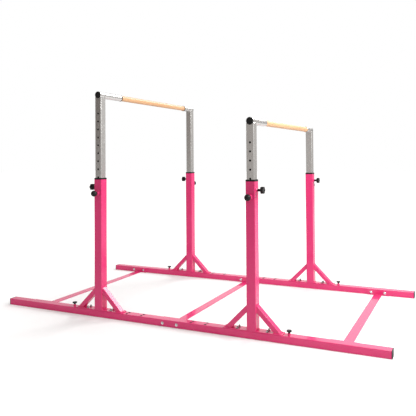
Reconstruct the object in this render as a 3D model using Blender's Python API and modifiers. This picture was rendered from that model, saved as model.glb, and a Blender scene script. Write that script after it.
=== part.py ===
# Uneven parallel bars: a floor frame of rectangular tube, four braced uprights,
# and two wooden bars on square telescopic posts.
# X runs along the base rails (high bar at -X, low bar at +X), Y from front to rear,
# Z is up, and the origin is on the floor at the centre of the base. Metres.

import math

import bmesh
import bpy
from mathutils import Matrix, Vector

GAP = 0.0003
HOLE_SIDES = 8
CUT_MARGIN = 0.01
CUT_THROUGH = 0.05

# Base rails
BASE_LENGTH = 2.774
RAIL_SPACING = 1.260
RAIL_WIDTH = 0.060
RAIL_HEIGHT = 0.044
RAIL_WALL = 0.003
SEAM_X = 0.824
COUPLER_REACH = 0.120
COUPLER_WALL = 0.0025
END_CAP_FLANGE = 0.005
END_CAP_PLUG = 0.020
SPARE_HOLES_X = (-0.341, -0.226, 0.149, 0.251)

# Cross-members
MEMBER_SPACING = 1.116
MEMBER_WIDTH = 0.060
MEMBER_THICKNESS = 0.005
FLANGE_LENGTH = 0.170
FLANGE_BOLT_OFFSET = 0.052

# Uprights
POST_X = 0.569
POST_SIDE = 0.060
POST_WALL = 0.003
POST_WALL_MIDDLE = POST_SIDE / 2 - POST_WALL / 2
POST_TOP = 0.941
PLATE_LENGTH = 0.388
PLATE_THICKNESS = 0.005
PLATE_BOLT_X = 0.097
PLATE_BOLT_Y = 0.015
BRACE_DEPTH = 0.040
BRACE_FACE = 0.044
BRACE_RISE = 0.152
BRACE_WALL = 0.0025
BOLT_HOLE_RADIUS = 0.0045
COLLAR_HEIGHT = 0.011
COLLAR_SKIRT = 0.040
COLLAR_OVERHANG = 0.0005

# Telescopic posts and bars
INNER_SIDE = 0.050
INNER_WALL = 0.002
HOLE_PITCH = 0.055
HOLE_COUNT = 11
HOLE_RADIUS = 0.006
HOLE_CUT = (0.018, 0.030)
FIRST_HOLE_DROP = 0.130
LAST_HOLE_TO_END = 0.060
PIN_Z = 0.847
LOW_BAR_STEPS_DOWN = 4
BAR_RADIUS = 0.020
SLEEVE_RADIUS = 0.0225
SLEEVE_BORE = 0.0203
SLEEVE_FRONT_REACH = 0.217
SLEEVE_REAR_REACH = 0.117
SADDLE_DROP = 0.012
BAR_END_SETBACK = 0.015
CAP_RADIUS = 0.0235
CAP_THICKNESS = 0.006
RING_RADIUS = 0.0232
RING_WIDTH = 0.009
SCREW_HEAD_RADIUS = 0.005
SCREW_SHANK_RADIUS = 0.0022
SCREW_DEPTH = 0.012
SCREW_CUT = (0.010, 0.030)
SCREW_SPOTS = {"front": -0.508, "rear": 0.573}

# Pull pins, clamp knobs and rail knobs
PIN_RADIUS = 0.0048
PIN_CLEARANCE = 0.0004
PIN_TIP_GAP = 0.0006
PIN_BOSS_RADIUS = 0.013
PIN_BOSS_LENGTH = 0.014
PIN_KNOB_START = 0.0515
PIN_KNOB_RADIUS = 0.0205
CLAMP_Z = 0.888
CLAMP_BOSS_RADIUS = 0.012
CLAMP_BOSS_LENGTH = 0.007
CLAMP_NECK_RADIUS = 0.009
CLAMP_HEAD_START = 0.056
CLAMP_HEAD_END = 0.078
CLAMP_HEAD_RADIUS = 0.0225
CLAMP_LOBE_DEPTH = 0.0025
CLAMP_LOBES = 6
STUD_RADIUS = 0.004
STUD_OUTER = 0.045
RAIL_KNOB_X = 0.797
RAIL_BOSS_RADIUS = 0.008
RAIL_BOSS_HEIGHT = 0.013
RAIL_KNOB_RADIUS = 0.0155
RAIL_KNOB_HEIGHT = 0.0155
THROUGH_BOLT_HEAD = 0.0065

SIDES = {"left": -1, "right": 1}
ENDS = {"front": -1, "rear": 1}
RAIL_Y = RAIL_SPACING / 2
HIGH_BAR_Z = PIN_Z + FIRST_HOLE_DROP + (HOLE_COUNT - 1) * HOLE_PITCH
LOW_BAR_Z = HIGH_BAR_Z - LOW_BAR_STEPS_DOWN * HOLE_PITCH
RAIL_END = BASE_LENGTH / 2 - END_CAP_FLANGE


def clear_scene():
    for obj in list(bpy.data.objects):
        bpy.data.objects.remove(obj, do_unlink=True)


def new_collection(name):
    made = bpy.data.collections.new(name)
    bpy.context.scene.collection.children.link(made)
    return made


def new_material(name, colour, roughness, metallic):
    made = bpy.data.materials.new(name)
    made.use_nodes = True
    shader = made.node_tree.nodes["Principled BSDF"]
    shader.inputs["Base Color"].default_value = (*colour, 1)
    shader.inputs["Roughness"].default_value = roughness
    shader.inputs["Metallic"].default_value = metallic
    return made


def pink_powder_coat(name):
    return new_material(name, (0.80, 0.075, 0.26), 0.3, 0.0)


def bright_steel(name):
    return new_material(name, (0.70, 0.69, 0.67), 0.32, 1.0)


def black_plastic(name):
    return new_material(name, (0.018, 0.018, 0.020), 0.45, 0.0)


def beech(name):
    return new_material(name, (0.84, 0.60, 0.33), 0.5, 0.0)


def add_box(shape, low, high):
    low, high = Vector(low), Vector(high)
    size = Matrix.Diagonal((*(high - low), 1))
    bmesh.ops.create_cube(shape, size=1, matrix=Matrix.Translation((low + high) / 2) @ size)


def add_cylinder(shape, radius, start, end, segments=16):
    start, end = Vector(start), Vector(end)
    turn = (end - start).to_track_quat("Z", "Y").to_matrix().to_4x4()
    bmesh.ops.create_cone(
        shape,
        cap_ends=True,
        segments=segments,
        radius1=radius,
        radius2=radius,
        depth=(end - start).length,
        matrix=Matrix.Translation((start + end) / 2) @ turn,
    )


def object_from(name, shape, collection):
    mesh = bpy.data.meshes.new(name)
    shape.to_mesh(mesh)
    shape.free()
    obj = bpy.data.objects.new(name, mesh)
    collection.objects.link(obj)
    return obj


def new_part(name, shape, finish, location, parent=None):
    obj = object_from(name, shape, parts)
    obj.location = location
    obj.data.materials.append(finish(name))
    if parent is not None:
        obj.location = Vector(location) - parent.location
        obj.parent = parent
    return obj


def boolean(obj, shape, operation):
    """Cuts a helper shape, in the object's own coordinates, from the object or joins it on."""
    helper = object_from(f"{obj.name}.{operation.lower()}", shape, cutters)
    helper.parent = obj
    helper.hide_render = True
    helper.display_type = "WIRE"
    modifier = obj.modifiers.new(operation.title(), "BOOLEAN")
    modifier.operation = operation
    modifier.solver = "EXACT"
    modifier.object = helper


def box(low, high):
    shape = bmesh.new()
    add_box(shape, low, high)
    return shape


def cylinder(radius, start, end, segments=16):
    shape = bmesh.new()
    add_cylinder(shape, radius, start, end, segments)
    return shape


def prism(outline, half_depth):
    """A flat outline in XZ, given half its depth to each side along Y."""
    curve = bpy.data.curves.new("outline", "CURVE")
    curve.dimensions = "2D"
    curve.fill_mode = "BOTH"
    curve.extrude = half_depth
    spline = curve.splines.new("POLY")
    spline.points.add(len(outline) - 1)
    for point, (x, z) in zip(spline.points, outline):
        point.co = (x, z, 0, 1)
    spline.use_cyclic_u = True
    holder = bpy.data.objects.new("outline", curve)
    cutters.objects.link(holder)
    evaluated = holder.evaluated_get(bpy.context.evaluated_depsgraph_get())
    mesh = bpy.data.meshes.new_from_object(evaluated)
    shape = bmesh.new()
    shape.from_mesh(mesh)
    bmesh.ops.remove_doubles(shape, verts=shape.verts, dist=0.000001)
    bmesh.ops.transform(shape, matrix=Matrix.Rotation(math.pi / 2, 4, "X"), verts=shape.verts)
    bmesh.ops.recalc_face_normals(shape, faces=shape.faces)
    bpy.data.objects.remove(holder)
    bpy.data.curves.remove(curve)
    bpy.data.meshes.remove(mesh)
    return shape


def turned(name, profile, finish, location, direction, steps=14):
    """A turned part: the profile runs (radius, height) down its outer side, and +Z points along direction."""
    shape = bmesh.new()
    points = [shape.verts.new((radius, 0, height)) for radius, height in profile]
    for first, second in zip(points, points[1:]):
        shape.edges.new((first, second))
    obj = new_part(name, shape, finish, location)
    obj.rotation_euler = Vector(direction).to_track_quat("Z", "Y").to_euler()
    screw = obj.modifiers.new("Turn", "SCREW")
    screw.steps = steps
    screw.render_steps = steps
    screw.use_merge_vertices = True
    screw.merge_threshold = 0.00001
    return obj


def rail_section(name, start, end, location):
    half = RAIL_WIDTH / 2
    obj = new_part(name, box((start, -half, 0), (end, half, RAIL_HEIGHT)), pink_powder_coat, location)
    inside = half - RAIL_WALL
    bore = box((start - CUT_MARGIN, -inside, RAIL_WALL), (end + CUT_MARGIN, inside, RAIL_HEIGHT - RAIL_WALL))
    boolean(obj, bore, "DIFFERENCE")
    return obj


def top_holes():
    """Bolt holes in pairs across a middle rail's top wall: those in use, and the spare positions."""
    used = [side * POST_X + offset for side in SIDES.values() for offset in (-PLATE_BOLT_X, PLATE_BOLT_X)]
    shape = bmesh.new()
    for x in (*used, *SPARE_HOLES_X):
        for y in (-PLATE_BOLT_Y, PLATE_BOLT_Y):
            top = RAIL_HEIGHT + 0.002
            add_cylinder(shape, BOLT_HOLE_RADIUS, (x, y, RAIL_HEIGHT / 2), (x, y, top), HOLE_SIDES)
    return shape


def middle_rail(end_name, end):
    half = SEAM_X - GAP / 2
    obj = rail_section(f"{end_name}_rail_middle", -half, half, (0, end * RAIL_Y, 0))
    boolean(obj, top_holes(), "DIFFERENCE")
    for side in SIDES.values():
        x = side * RAIL_KNOB_X
        boss_top = RAIL_HEIGHT + RAIL_BOSS_HEIGHT
        low = RAIL_HEIGHT - RAIL_WALL / 2
        boolean(obj, cylinder(RAIL_BOSS_RADIUS, (x, 0, low), (x, 0, boss_top)), "UNION")
        clear = STUD_RADIUS + PIN_CLEARANCE
        boolean(obj, cylinder(clear, (x, 0, RAIL_HEIGHT / 2), (x, 0, boss_top + CUT_MARGIN), 12), "DIFFERENCE")
    side_holes = bmesh.new()
    for offset in (-FLANGE_BOLT_OFFSET, FLANGE_BOLT_OFFSET):
        outside = (offset, end * CUT_THROUGH, RAIL_HEIGHT / 2)
        inside = (offset, -end * CUT_THROUGH, RAIL_HEIGHT / 2)
        add_cylinder(side_holes, BOLT_HOLE_RADIUS, inside, outside, HOLE_SIDES)
    boolean(obj, side_holes, "DIFFERENCE")


def end_rail(end_name, end, side_name, side):
    ends = sorted((side * (SEAM_X + GAP / 2), side * RAIL_END))
    obj = rail_section(f"{end_name}_rail_{side_name}", *ends, (0, end * RAIL_Y, 0))
    holes = bmesh.new()
    for offset in (-FLANGE_BOLT_OFFSET, FLANGE_BOLT_OFFSET):
        middle = (side * MEMBER_SPACING + offset, 0, RAIL_HEIGHT / 2)
        inside = (middle[0], -end * CUT_THROUGH, middle[2])
        add_cylinder(holes, BOLT_HOLE_RADIUS, middle, inside, HOLE_SIDES)
    boolean(obj, holes, "DIFFERENCE")


def rail_coupler(end_name, end, side_name, side):
    reach = COUPLER_REACH
    half = RAIL_WIDTH / 2 - RAIL_WALL - GAP
    low, high = RAIL_WALL + GAP, RAIL_HEIGHT - RAIL_WALL - GAP
    location = (side * SEAM_X, end * RAIL_Y, 0)
    shape = box((-reach, -half, low), (reach, half, high))
    obj = new_part(f"{end_name}_{side_name}_rail_coupler", shape, bright_steel, location)
    half -= COUPLER_WALL
    bore = box((-reach - CUT_MARGIN, -half, low + COUPLER_WALL), (reach + CUT_MARGIN, half, high - COUPLER_WALL))
    boolean(obj, bore, "DIFFERENCE")


def rail_end_cap(end_name, end, side_name, side):
    location = (side * RAIL_END, end * RAIL_Y, 0)
    half = RAIL_WIDTH / 2
    flange = sorted((side * GAP, side * END_CAP_FLANGE))
    shape = box((flange[0], -half, 0), (flange[1], half, RAIL_HEIGHT))
    obj = new_part(f"{end_name}_{side_name}_rail_cap", shape, black_plastic, location)
    half -= RAIL_WALL + GAP
    plug = sorted((-side * END_CAP_PLUG, side * END_CAP_FLANGE / 2))
    low = RAIL_WALL + GAP
    boolean(obj, box((plug[0], -half, low), (plug[1], half, RAIL_HEIGHT - low)), "UNION")


def cross_member(name, x):
    """A flat bar on the floor between the rails, with an upright bolting flange at each end."""
    inner_face = RAIL_Y - RAIL_WIDTH / 2 - GAP
    half = MEMBER_WIDTH / 2
    strip = box((-half, -inner_face, 0), (half, inner_face, MEMBER_THICKNESS))
    obj = new_part(name, strip, pink_powder_coat, (x, 0, 0))
    for end in ENDS.values():
        y = sorted((end * inner_face, end * (inner_face - MEMBER_THICKNESS)))
        flange = box((-FLANGE_LENGTH / 2, y[0], 0), (FLANGE_LENGTH / 2, y[1], RAIL_HEIGHT - 0.001))
        boolean(obj, flange, "UNION")
        holes = bmesh.new()
        for offset in (-FLANGE_BOLT_OFFSET, FLANGE_BOLT_OFFSET):
            start = (offset, y[0] - CUT_MARGIN, RAIL_HEIGHT / 2)
            stop = (offset, y[1] + CUT_MARGIN, RAIL_HEIGHT / 2)
            add_cylinder(holes, BOLT_HOLE_RADIUS, start, stop, HOLE_SIDES)
        boolean(obj, holes, "DIFFERENCE")


def brace_outline(side, trim=0.0):
    """The brace's outline in XZ beside the post, narrowed by trim and then run on into the post."""
    wall_x = POST_SIDE / 2
    top = PLATE_THICKNESS + BRACE_RISE - trim * math.sqrt(2)
    face = BRACE_FACE - 2 * trim * math.sqrt(2)
    inside = POST_SIDE / 2 - POST_WALL - 0.002 if trim else wall_x - 0.001
    foot = PLATE_THICKNESS + trim if trim else PLATE_THICKNESS / 2
    run_on = wall_x - inside
    outer = (side * (wall_x + top - foot), foot)
    inner = (side * (wall_x + top - face - foot), foot)
    return [(side * inside, top + run_on), (side * inside, top - face + run_on), inner, outer]


def upright(end_name, end, side_name, side):
    """Base plate, square tube, two braces and the bosses of the pull pin and the clamp knob, welded into one."""
    base = RAIL_HEIGHT + GAP
    name = f"{end_name}_{side_name}_upright"
    half = POST_SIDE / 2
    top = POST_TOP - base
    obj = new_part(
        name,
        box((-half, -half, 0), (half, half, top)),
        pink_powder_coat,
        (side * POST_X, end * RAIL_Y, base),
    )
    plate = box((-PLATE_LENGTH / 2, -half, 0), (PLATE_LENGTH / 2, half, PLATE_THICKNESS))
    boolean(obj, plate, "UNION")
    for brace_side in SIDES.values():
        boolean(obj, prism(brace_outline(brace_side), BRACE_DEPTH / 2), "UNION")
    pin_z = PIN_Z - base
    clamp_z = CLAMP_Z - base
    pin_end = end * (half + PIN_BOSS_LENGTH)
    clamp_end = side * (half + CLAMP_BOSS_LENGTH)
    boolean(obj, cylinder(PIN_BOSS_RADIUS, (0, end * POST_WALL_MIDDLE, pin_z), (0, pin_end, pin_z)), "UNION")
    boolean(obj, cylinder(CLAMP_BOSS_RADIUS, (side * POST_WALL_MIDDLE, 0, clamp_z), (clamp_end, 0, clamp_z)), "UNION")
    inside = half - POST_WALL
    boolean(obj, box((-inside, -inside, PLATE_THICKNESS), (inside, inside, top + CUT_MARGIN)), "DIFFERENCE")
    for brace_side in SIDES.values():
        bore = prism(brace_outline(brace_side, BRACE_WALL), BRACE_DEPTH / 2 - BRACE_WALL)
        boolean(obj, bore, "DIFFERENCE")
    holes = bmesh.new()
    pin_bore = PIN_RADIUS + PIN_CLEARANCE
    add_cylinder(holes, pin_bore, (0, end * POST_SIDE / 3, pin_z), (0, 2 * pin_end, pin_z), 12)
    stud_bore = STUD_RADIUS + PIN_CLEARANCE
    add_cylinder(holes, stud_bore, (side * POST_SIDE / 3, 0, clamp_z), (2 * clamp_end, 0, clamp_z), 12)
    for x in (-PLATE_BOLT_X, PLATE_BOLT_X):
        for y in (-PLATE_BOLT_Y, PLATE_BOLT_Y):
            top = PLATE_THICKNESS + 0.004
            add_cylinder(holes, BOLT_HOLE_RADIUS, (x, y, -CUT_MARGIN), (x, y, top), HOLE_SIDES)
    boolean(obj, holes, "DIFFERENCE")


def collar(end_name, end, side_name, side):
    """The plastic guide in an upright's mouth: a flange on top and a skirt down inside the tube."""
    skirt = POST_SIDE / 2 - POST_WALL - GAP
    flange = POST_SIDE / 2 + COLLAR_OVERHANG
    opening = INNER_SIDE / 2 + GAP
    location = (side * POST_X, end * RAIL_Y, POST_TOP)
    shape = box((-flange, -flange, GAP), (flange, flange, COLLAR_HEIGHT))
    obj = new_part(f"{end_name}_{side_name}_collar", shape, black_plastic, location)
    boolean(obj, box((-skirt, -skirt, -COLLAR_SKIRT), (skirt, skirt, COLLAR_HEIGHT / 2)), "UNION")
    bore = box((-opening, -opening, -0.1), (opening, opening, 0.1))
    boolean(obj, bore, "DIFFERENCE")


def empty_at(name, location):
    made = bpy.data.objects.new(name, None)
    made.location = location
    parts.objects.link(made)
    return made


def sleeve_span(end):
    outer = RAIL_Y + INNER_SIDE / 2
    reach = SLEEVE_FRONT_REACH if end < 0 else SLEEVE_REAR_REACH
    return end * outer, end * (RAIL_Y - reach)


def inner_post(bar_name, bar, end_name, end):
    """A square telescopic post with its row of holes outward, and the bar's sleeve welded across its top."""
    half = INNER_SIDE / 2
    bottom = -(FIRST_HOLE_DROP + (HOLE_COUNT - 1) * HOLE_PITCH + LAST_HOLE_TO_END)
    location = bar.location + Vector((0, end * RAIL_Y, 0))
    shape = box((-half, -half, bottom), (half, half, -SADDLE_DROP))
    obj = new_part(f"{bar_name}_{end_name}_post", shape, bright_steel, location, bar)
    outer, inner = (y - end * RAIL_Y for y in sleeve_span(end))
    boolean(obj, cylinder(SLEEVE_RADIUS, (0, outer, 0), (0, inner, 0), 24), "UNION")
    boolean(obj, cylinder(SLEEVE_BORE, (0, outer * 1.5, 0), (0, inner * 1.5, 0), 24), "DIFFERENCE")
    inside = half - INNER_WALL
    cavity = box((-inside, -inside, bottom - CUT_MARGIN), (inside, inside, -SLEEVE_RADIUS - 0.004))
    boolean(obj, cavity, "DIFFERENCE")
    holes = bmesh.new()
    for number in range(HOLE_COUNT):
        z = -FIRST_HOLE_DROP - number * HOLE_PITCH
        add_cylinder(holes, HOLE_RADIUS, (0, end * HOLE_CUT[0], z), (0, end * HOLE_CUT[1], z), HOLE_SIDES)
    y = SCREW_SPOTS[end_name] - end * RAIL_Y
    add_cylinder(holes, SCREW_SHANK_RADIUS + GAP, (SCREW_CUT[0], y, 0), (SCREW_CUT[1], y, 0), 10)
    boolean(obj, holes, "DIFFERENCE")


def wooden_bar(bar_name, bar):
    half = RAIL_Y + INNER_SIDE / 2 - BAR_END_SETBACK
    shape = cylinder(BAR_RADIUS, (0, -half, 0), (0, half, 0), 24)
    obj = new_part(f"{bar_name}_wooden_bar", shape, beech, bar.location, bar)
    pilots = bmesh.new()
    for y in SCREW_SPOTS.values():
        deep = SLEEVE_RADIUS - SCREW_DEPTH - GAP
        add_cylinder(pilots, SCREW_SHANK_RADIUS + GAP, (deep, y, 0), (SCREW_CUT[1], y, 0), 10)
    boolean(obj, pilots, "DIFFERENCE")


def bar_cap(bar_name, bar, end_name, end):
    """The round plastic cap on a sleeve's outer end, with its plug inside."""
    outer = sleeve_span(end)[0]
    flange = cylinder(CAP_RADIUS, (0, outer + end * GAP, 0), (0, outer + end * CAP_THICKNESS, 0), 24)
    obj = new_part(f"{bar_name}_{end_name}_cap", flange, black_plastic, bar.location, bar)
    start = outer - end * (BAR_END_SETBACK - GAP)
    plug = cylinder(BAR_RADIUS, (0, start, 0), (0, outer + end * CAP_THICKNESS / 2, 0), 24)
    boolean(obj, plug, "UNION")


def bar_ring(bar_name, bar, end_name, end):
    """The dark ring that closes the joint between a sleeve and the wood."""
    start = sleeve_span(end)[1] - end * GAP
    shape = cylinder(RING_RADIUS, (0, start, 0), (0, start - end * RING_WIDTH, 0), 24)
    obj = new_part(f"{bar_name}_{end_name}_ring", shape, black_plastic, bar.location, bar)
    bore = cylinder(SLEEVE_BORE, (0, start + CUT_MARGIN, 0), (0, start - CUT_MARGIN, 0), 24)
    boolean(obj, bore, "DIFFERENCE")


def bar_screw(bar_name, bar, end_name):
    y = SCREW_SPOTS[end_name]
    seat = SLEEVE_RADIUS + GAP
    shape = cylinder(SCREW_HEAD_RADIUS, (seat, y, 0), (seat + 0.003, y, 0), 12)
    obj = new_part(f"{bar_name}_{end_name}_screw", shape, bright_steel, bar.location, bar)
    tip = SLEEVE_RADIUS - SCREW_DEPTH
    boolean(obj, cylinder(SCREW_SHANK_RADIUS, (tip, y, 0), (seat + 0.001, y, 0), 10), "UNION")


def bar_frame(bar_name, x, z, has_rings):
    bar = empty_at(f"{bar_name}_frame", (x, 0, z))
    for end_name, end in ENDS.items():
        inner_post(bar_name, bar, end_name, end)
        bar_cap(bar_name, bar, end_name, end)
        bar_screw(bar_name, bar, end_name)
        if has_rings:
            bar_ring(bar_name, bar, end_name, end)
    wooden_bar(bar_name, bar)


def pull_pin(end_name, end, side_name, side):
    """A plunger in the boss on an upright's outward face, drawn just clear of the telescopic post."""
    name = f"{end_name}_{side_name}_pull_pin"
    axis = Vector((0, end, 0))
    location = (side * POST_X, end * RAIL_Y, PIN_Z)
    tip = INNER_SIDE / 2 + PIN_TIP_GAP
    shape = cylinder(PIN_RADIUS, axis * tip, axis * (PIN_KNOB_START - GAP), 12)
    new_part(name, shape, bright_steel, location)
    radius = PIN_KNOB_RADIUS
    neck = 0.011
    start_angle = math.acos(neck / radius)
    steps = 8
    sweep = math.pi / 2 + start_angle
    centre = PIN_KNOB_START + radius * math.sin(start_angle)
    angles = [math.pi / 2 - sweep * step / steps for step in range(steps + 1)]
    profile = [(radius * math.cos(angle), centre + radius * math.sin(angle)) for angle in angles]
    turned(f"{name}_knob", [*profile, (0, PIN_KNOB_START)], black_plastic, location, axis)


def lobed_head():
    """The clamp knob's star outline, from a circle with a wave on its radius."""
    points = 30
    outline = []
    for number in range(points):
        angle = 2 * math.pi * number / points
        radius = CLAMP_HEAD_RADIUS - CLAMP_LOBE_DEPTH * (1 - math.cos(CLAMP_LOBES * angle)) / 2
        outline.append((radius * math.cos(angle), radius * math.sin(angle)))
    return outline


def clamp_knob(end_name, end, side_name, side):
    """A star knob with its stud, which clamps the telescopic post from the side."""
    location = (side * POST_X, end * RAIL_Y, CLAMP_Z)
    half = (CLAMP_HEAD_END - CLAMP_HEAD_START) / 2
    head = prism(lobed_head(), half)
    middle = side * (CLAMP_HEAD_START + half)
    turn = Matrix.Translation((middle, 0, 0)) @ Matrix.Rotation(math.pi / 2, 4, "Z")
    bmesh.ops.transform(head, matrix=turn, verts=head.verts)
    obj = new_part(f"{end_name}_{side_name}_clamp_knob", head, black_plastic, location)
    neck_start = side * (POST_SIDE / 2 + CLAMP_BOSS_LENGTH + GAP)
    boolean(obj, cylinder(CLAMP_NECK_RADIUS, (neck_start, 0, 0), (middle, 0, 0)), "UNION")
    tip = side * (INNER_SIDE / 2 + PIN_TIP_GAP)
    boolean(obj, cylinder(STUD_RADIUS, (tip, 0, 0), (side * STUD_OUTER, 0, 0), 12), "UNION")


def rail_knob(end_name, end, side_name, side):
    """A small knob whose stud runs down through the boss on the rail and locks the coupler."""
    location = (side * RAIL_KNOB_X, end * RAIL_Y, RAIL_HEIGHT + RAIL_BOSS_HEIGHT)
    top = GAP + RAIL_KNOB_HEIGHT
    head = cylinder(RAIL_KNOB_RADIUS, (0, 0, GAP), (0, 0, top), 20)
    obj = new_part(f"{end_name}_{side_name}_rail_knob", head, black_plastic, location)
    tip = -(RAIL_BOSS_HEIGHT + RAIL_WALL - GAP)
    boolean(obj, cylinder(STUD_RADIUS, (0, 0, tip), (0, 0, top / 2), 12), "UNION")


def through_bolt(side_name, side):
    """A hexagon bolt through the front rail and the middle cross-member's flange."""
    face = -RAIL_Y - RAIL_WIDTH / 2
    location = (side * FLANGE_BOLT_OFFSET, face, RAIL_HEIGHT / 2)
    head = cylinder(THROUGH_BOLT_HEAD, (0, -GAP, 0), (0, -0.0055, 0), 6)
    obj = new_part(f"front_middle_bolt_{side_name}", head, bright_steel, location)
    boolean(obj, cylinder(STUD_RADIUS, (0, -0.001, 0), (0, RAIL_WIDTH + 0.012, 0), 12), "UNION")


clear_scene()
parts = new_collection("uneven_parallel_bars")
cutters = new_collection("cutters")

for end_name, end_sign in ENDS.items():
    middle_rail(end_name, end_sign)
    for side_name, side_sign in SIDES.items():
        place = (end_name, end_sign, side_name, side_sign)
        end_rail(*place)
        rail_coupler(*place)
        rail_end_cap(*place)
        upright(*place)
        collar(*place)
        pull_pin(*place)
        clamp_knob(*place)
        rail_knob(*place)

cross_member("left_cross_member", -MEMBER_SPACING)
cross_member("middle_cross_member", 0)
cross_member("right_cross_member", MEMBER_SPACING)

for side_name, side_sign in SIDES.items():
    through_bolt(side_name, side_sign)

bar_frame("high_bar", -POST_X, HIGH_BAR_Z, has_rings=True)
bar_frame("low_bar", POST_X, LOW_BAR_Z, has_rings=False)
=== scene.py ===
import math

import bmesh
import bpy
from mathutils import Matrix, Vector


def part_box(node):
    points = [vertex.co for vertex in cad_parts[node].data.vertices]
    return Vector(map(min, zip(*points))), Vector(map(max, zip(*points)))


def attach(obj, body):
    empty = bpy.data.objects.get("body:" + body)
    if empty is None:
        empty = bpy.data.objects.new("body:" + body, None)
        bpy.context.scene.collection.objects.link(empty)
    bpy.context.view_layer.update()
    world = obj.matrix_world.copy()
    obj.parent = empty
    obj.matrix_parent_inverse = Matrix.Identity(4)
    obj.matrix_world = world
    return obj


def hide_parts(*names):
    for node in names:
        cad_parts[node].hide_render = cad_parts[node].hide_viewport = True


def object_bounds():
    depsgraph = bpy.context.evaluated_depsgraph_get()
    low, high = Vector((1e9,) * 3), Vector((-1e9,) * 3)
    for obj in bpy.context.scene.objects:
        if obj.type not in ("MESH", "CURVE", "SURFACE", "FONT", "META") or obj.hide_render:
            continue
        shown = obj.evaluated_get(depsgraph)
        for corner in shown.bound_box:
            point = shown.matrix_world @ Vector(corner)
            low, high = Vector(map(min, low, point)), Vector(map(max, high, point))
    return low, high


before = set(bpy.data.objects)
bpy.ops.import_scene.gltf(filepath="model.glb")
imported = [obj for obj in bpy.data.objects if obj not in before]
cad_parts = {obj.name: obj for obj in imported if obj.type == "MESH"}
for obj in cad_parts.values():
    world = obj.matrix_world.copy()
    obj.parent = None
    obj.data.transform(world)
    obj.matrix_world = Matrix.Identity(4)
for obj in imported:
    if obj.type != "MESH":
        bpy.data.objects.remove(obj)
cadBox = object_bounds()
print("frame loaded:", len(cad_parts), "nodes")

# which way along Y each end lies, and along X each side
ends = {"front": -1, "rear": 1}
sides = {"left": -1, "right": 1}
places = [(end, side) for end in ends for side in sides]
bars = ("high_bar", "low_bar")


# a socket that arithmetic works on, and the shader tree it lives in
class Wire:
    def __init__(self, finish, socket):
        self.finish = finish
        self.socket = socket

    def maths(self, operation, first, second):
        return self.finish.node("ShaderNodeMath", {"operation": operation}, {0: first, 1: second})

    def __add__(self, other):
        return self.maths("ADD", self, other)

    __radd__ = __add__

    def __sub__(self, other):
        return self.maths("SUBTRACT", self, other)

    def __rsub__(self, other):
        return self.maths("SUBTRACT", other, self)

    def __mul__(self, other):
        return self.maths("MULTIPLY", self, other)

    __rmul__ = __mul__

    def clipped(self, low, high):
        limits = {"Value": self, "Min": low, "Max": high}
        return self.finish.node("ShaderNodeClamp", {}, limits)

    def above(self, edge, softness):
        ranges = {"Value": self, "From Min": edge, "From Max": edge + softness}
        return self.finish.node("ShaderNodeMapRange", {"clamp": True}, ranges)


class Finish:
    def __init__(self, name, owner=None):
        self.material = owner or bpy.data.materials.new(name)
        self.material.use_nodes = True
        self.tree = self.material.node_tree
        self.tree.nodes.clear()

    def node(self, kind, settings, inputs, output=0):
        made = self.tree.nodes.new(kind)
        for key, value in settings.items():
            setattr(made, key, value)
        for key, value in inputs.items():
            socket = self.findSocket(made.inputs, key)
            if isinstance(value, Wire):
                self.tree.links.new(value.socket, socket)
            else:
                socket.default_value = value
        return Wire(self, self.findSocket(made.outputs, output)) if made.outputs else None

    def findSocket(self, sockets, key):
        if isinstance(key, int):
            return sockets[key]
        return next(socket for socket in sockets if key in (socket.identifier, socket.name))

    def mixed(self, factor, first, second):
        colours = {"Factor_Float": factor, "A_Color": first, "B_Color": second}
        return self.node("ShaderNodeMix", {"data_type": "RGBA"}, colours, "Result_Color")

    def position(self, scale=(1, 1, 1), shift=(0, 0, 0)):
        here = self.node("ShaderNodeTexCoord", {}, {}, "Object")
        return self.node("ShaderNodeMapping", {}, {"Vector": here, "Location": shift, "Scale": scale})

    def noise(self, where, scale, detail, roughness=0.5):
        inputs = {"Vector": where, "Scale": scale, "Detail": detail, "Roughness": roughness}
        return self.node("ShaderNodeTexNoise", {}, inputs)

    def bumped(self, height, strength, distance):
        inputs = {"Height": height, "Strength": strength, "Distance": distance}
        return self.node("ShaderNodeBump", {}, inputs)

    def finished(self, **inputs):
        named = {key.replace("_", " "): value for key, value in inputs.items()}
        shader = self.node("ShaderNodeBsdfPrincipled", {}, named)
        self.node("ShaderNodeOutputMaterial", {}, {"Surface": shader})
        return self.material


def rgba(colour):
    return (*colour, 1)


powderCoatLook = {
    "colour": (0.75, 0.030, 0.172),
    "deep": (0.67, 0.023, 0.142),
    "speck": (0.92, 0.45, 0.6),
    "driftScale": 3.5,
    "rubScale": 26,
    "peelScale": 420,
    "speckScale": 900,
    "fineScale": 1600,
    "peelDepth": 0.00035,
    "roughness": 0.19,
    "coat": 0.5,
    "coatRoughness": 0.08,
    "specular": 0.3,
}


def powderCoat():
    look = powderCoatLook
    finish = Finish("pinkPowderCoat")
    where = finish.position()
    drift = finish.noise(where, look["driftScale"], 3)
    peel = finish.noise(where, look["peelScale"], 2)
    fine = finish.noise(where, look["fineScale"], 1)
    speck = finish.noise(where, look["speckScale"], 0).above(0.71, 0.03)
    rubbed = finish.noise(where, look["rubScale"], 5, 0.65).above(0.66, 0.1)
    base = finish.mixed(drift.above(0.35, 0.4) * 0.55, rgba(look["colour"]), rgba(look["deep"]))
    base = finish.mixed(speck * 0.12, base, rgba(look["speck"]))
    rough = drift * 0.08 + fine * 0.05 + rubbed * 0.05 + look["roughness"]
    surface = finish.bumped(peel + fine * 0.25, 0.12, look["peelDepth"])
    return finish.finished(
        Base_Color=base, Roughness=rough, Normal=surface, Coat_Weight=look["coat"],
        Coat_Roughness=look["coatRoughness"], Specular_IOR_Level=look["specular"],
    )


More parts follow.
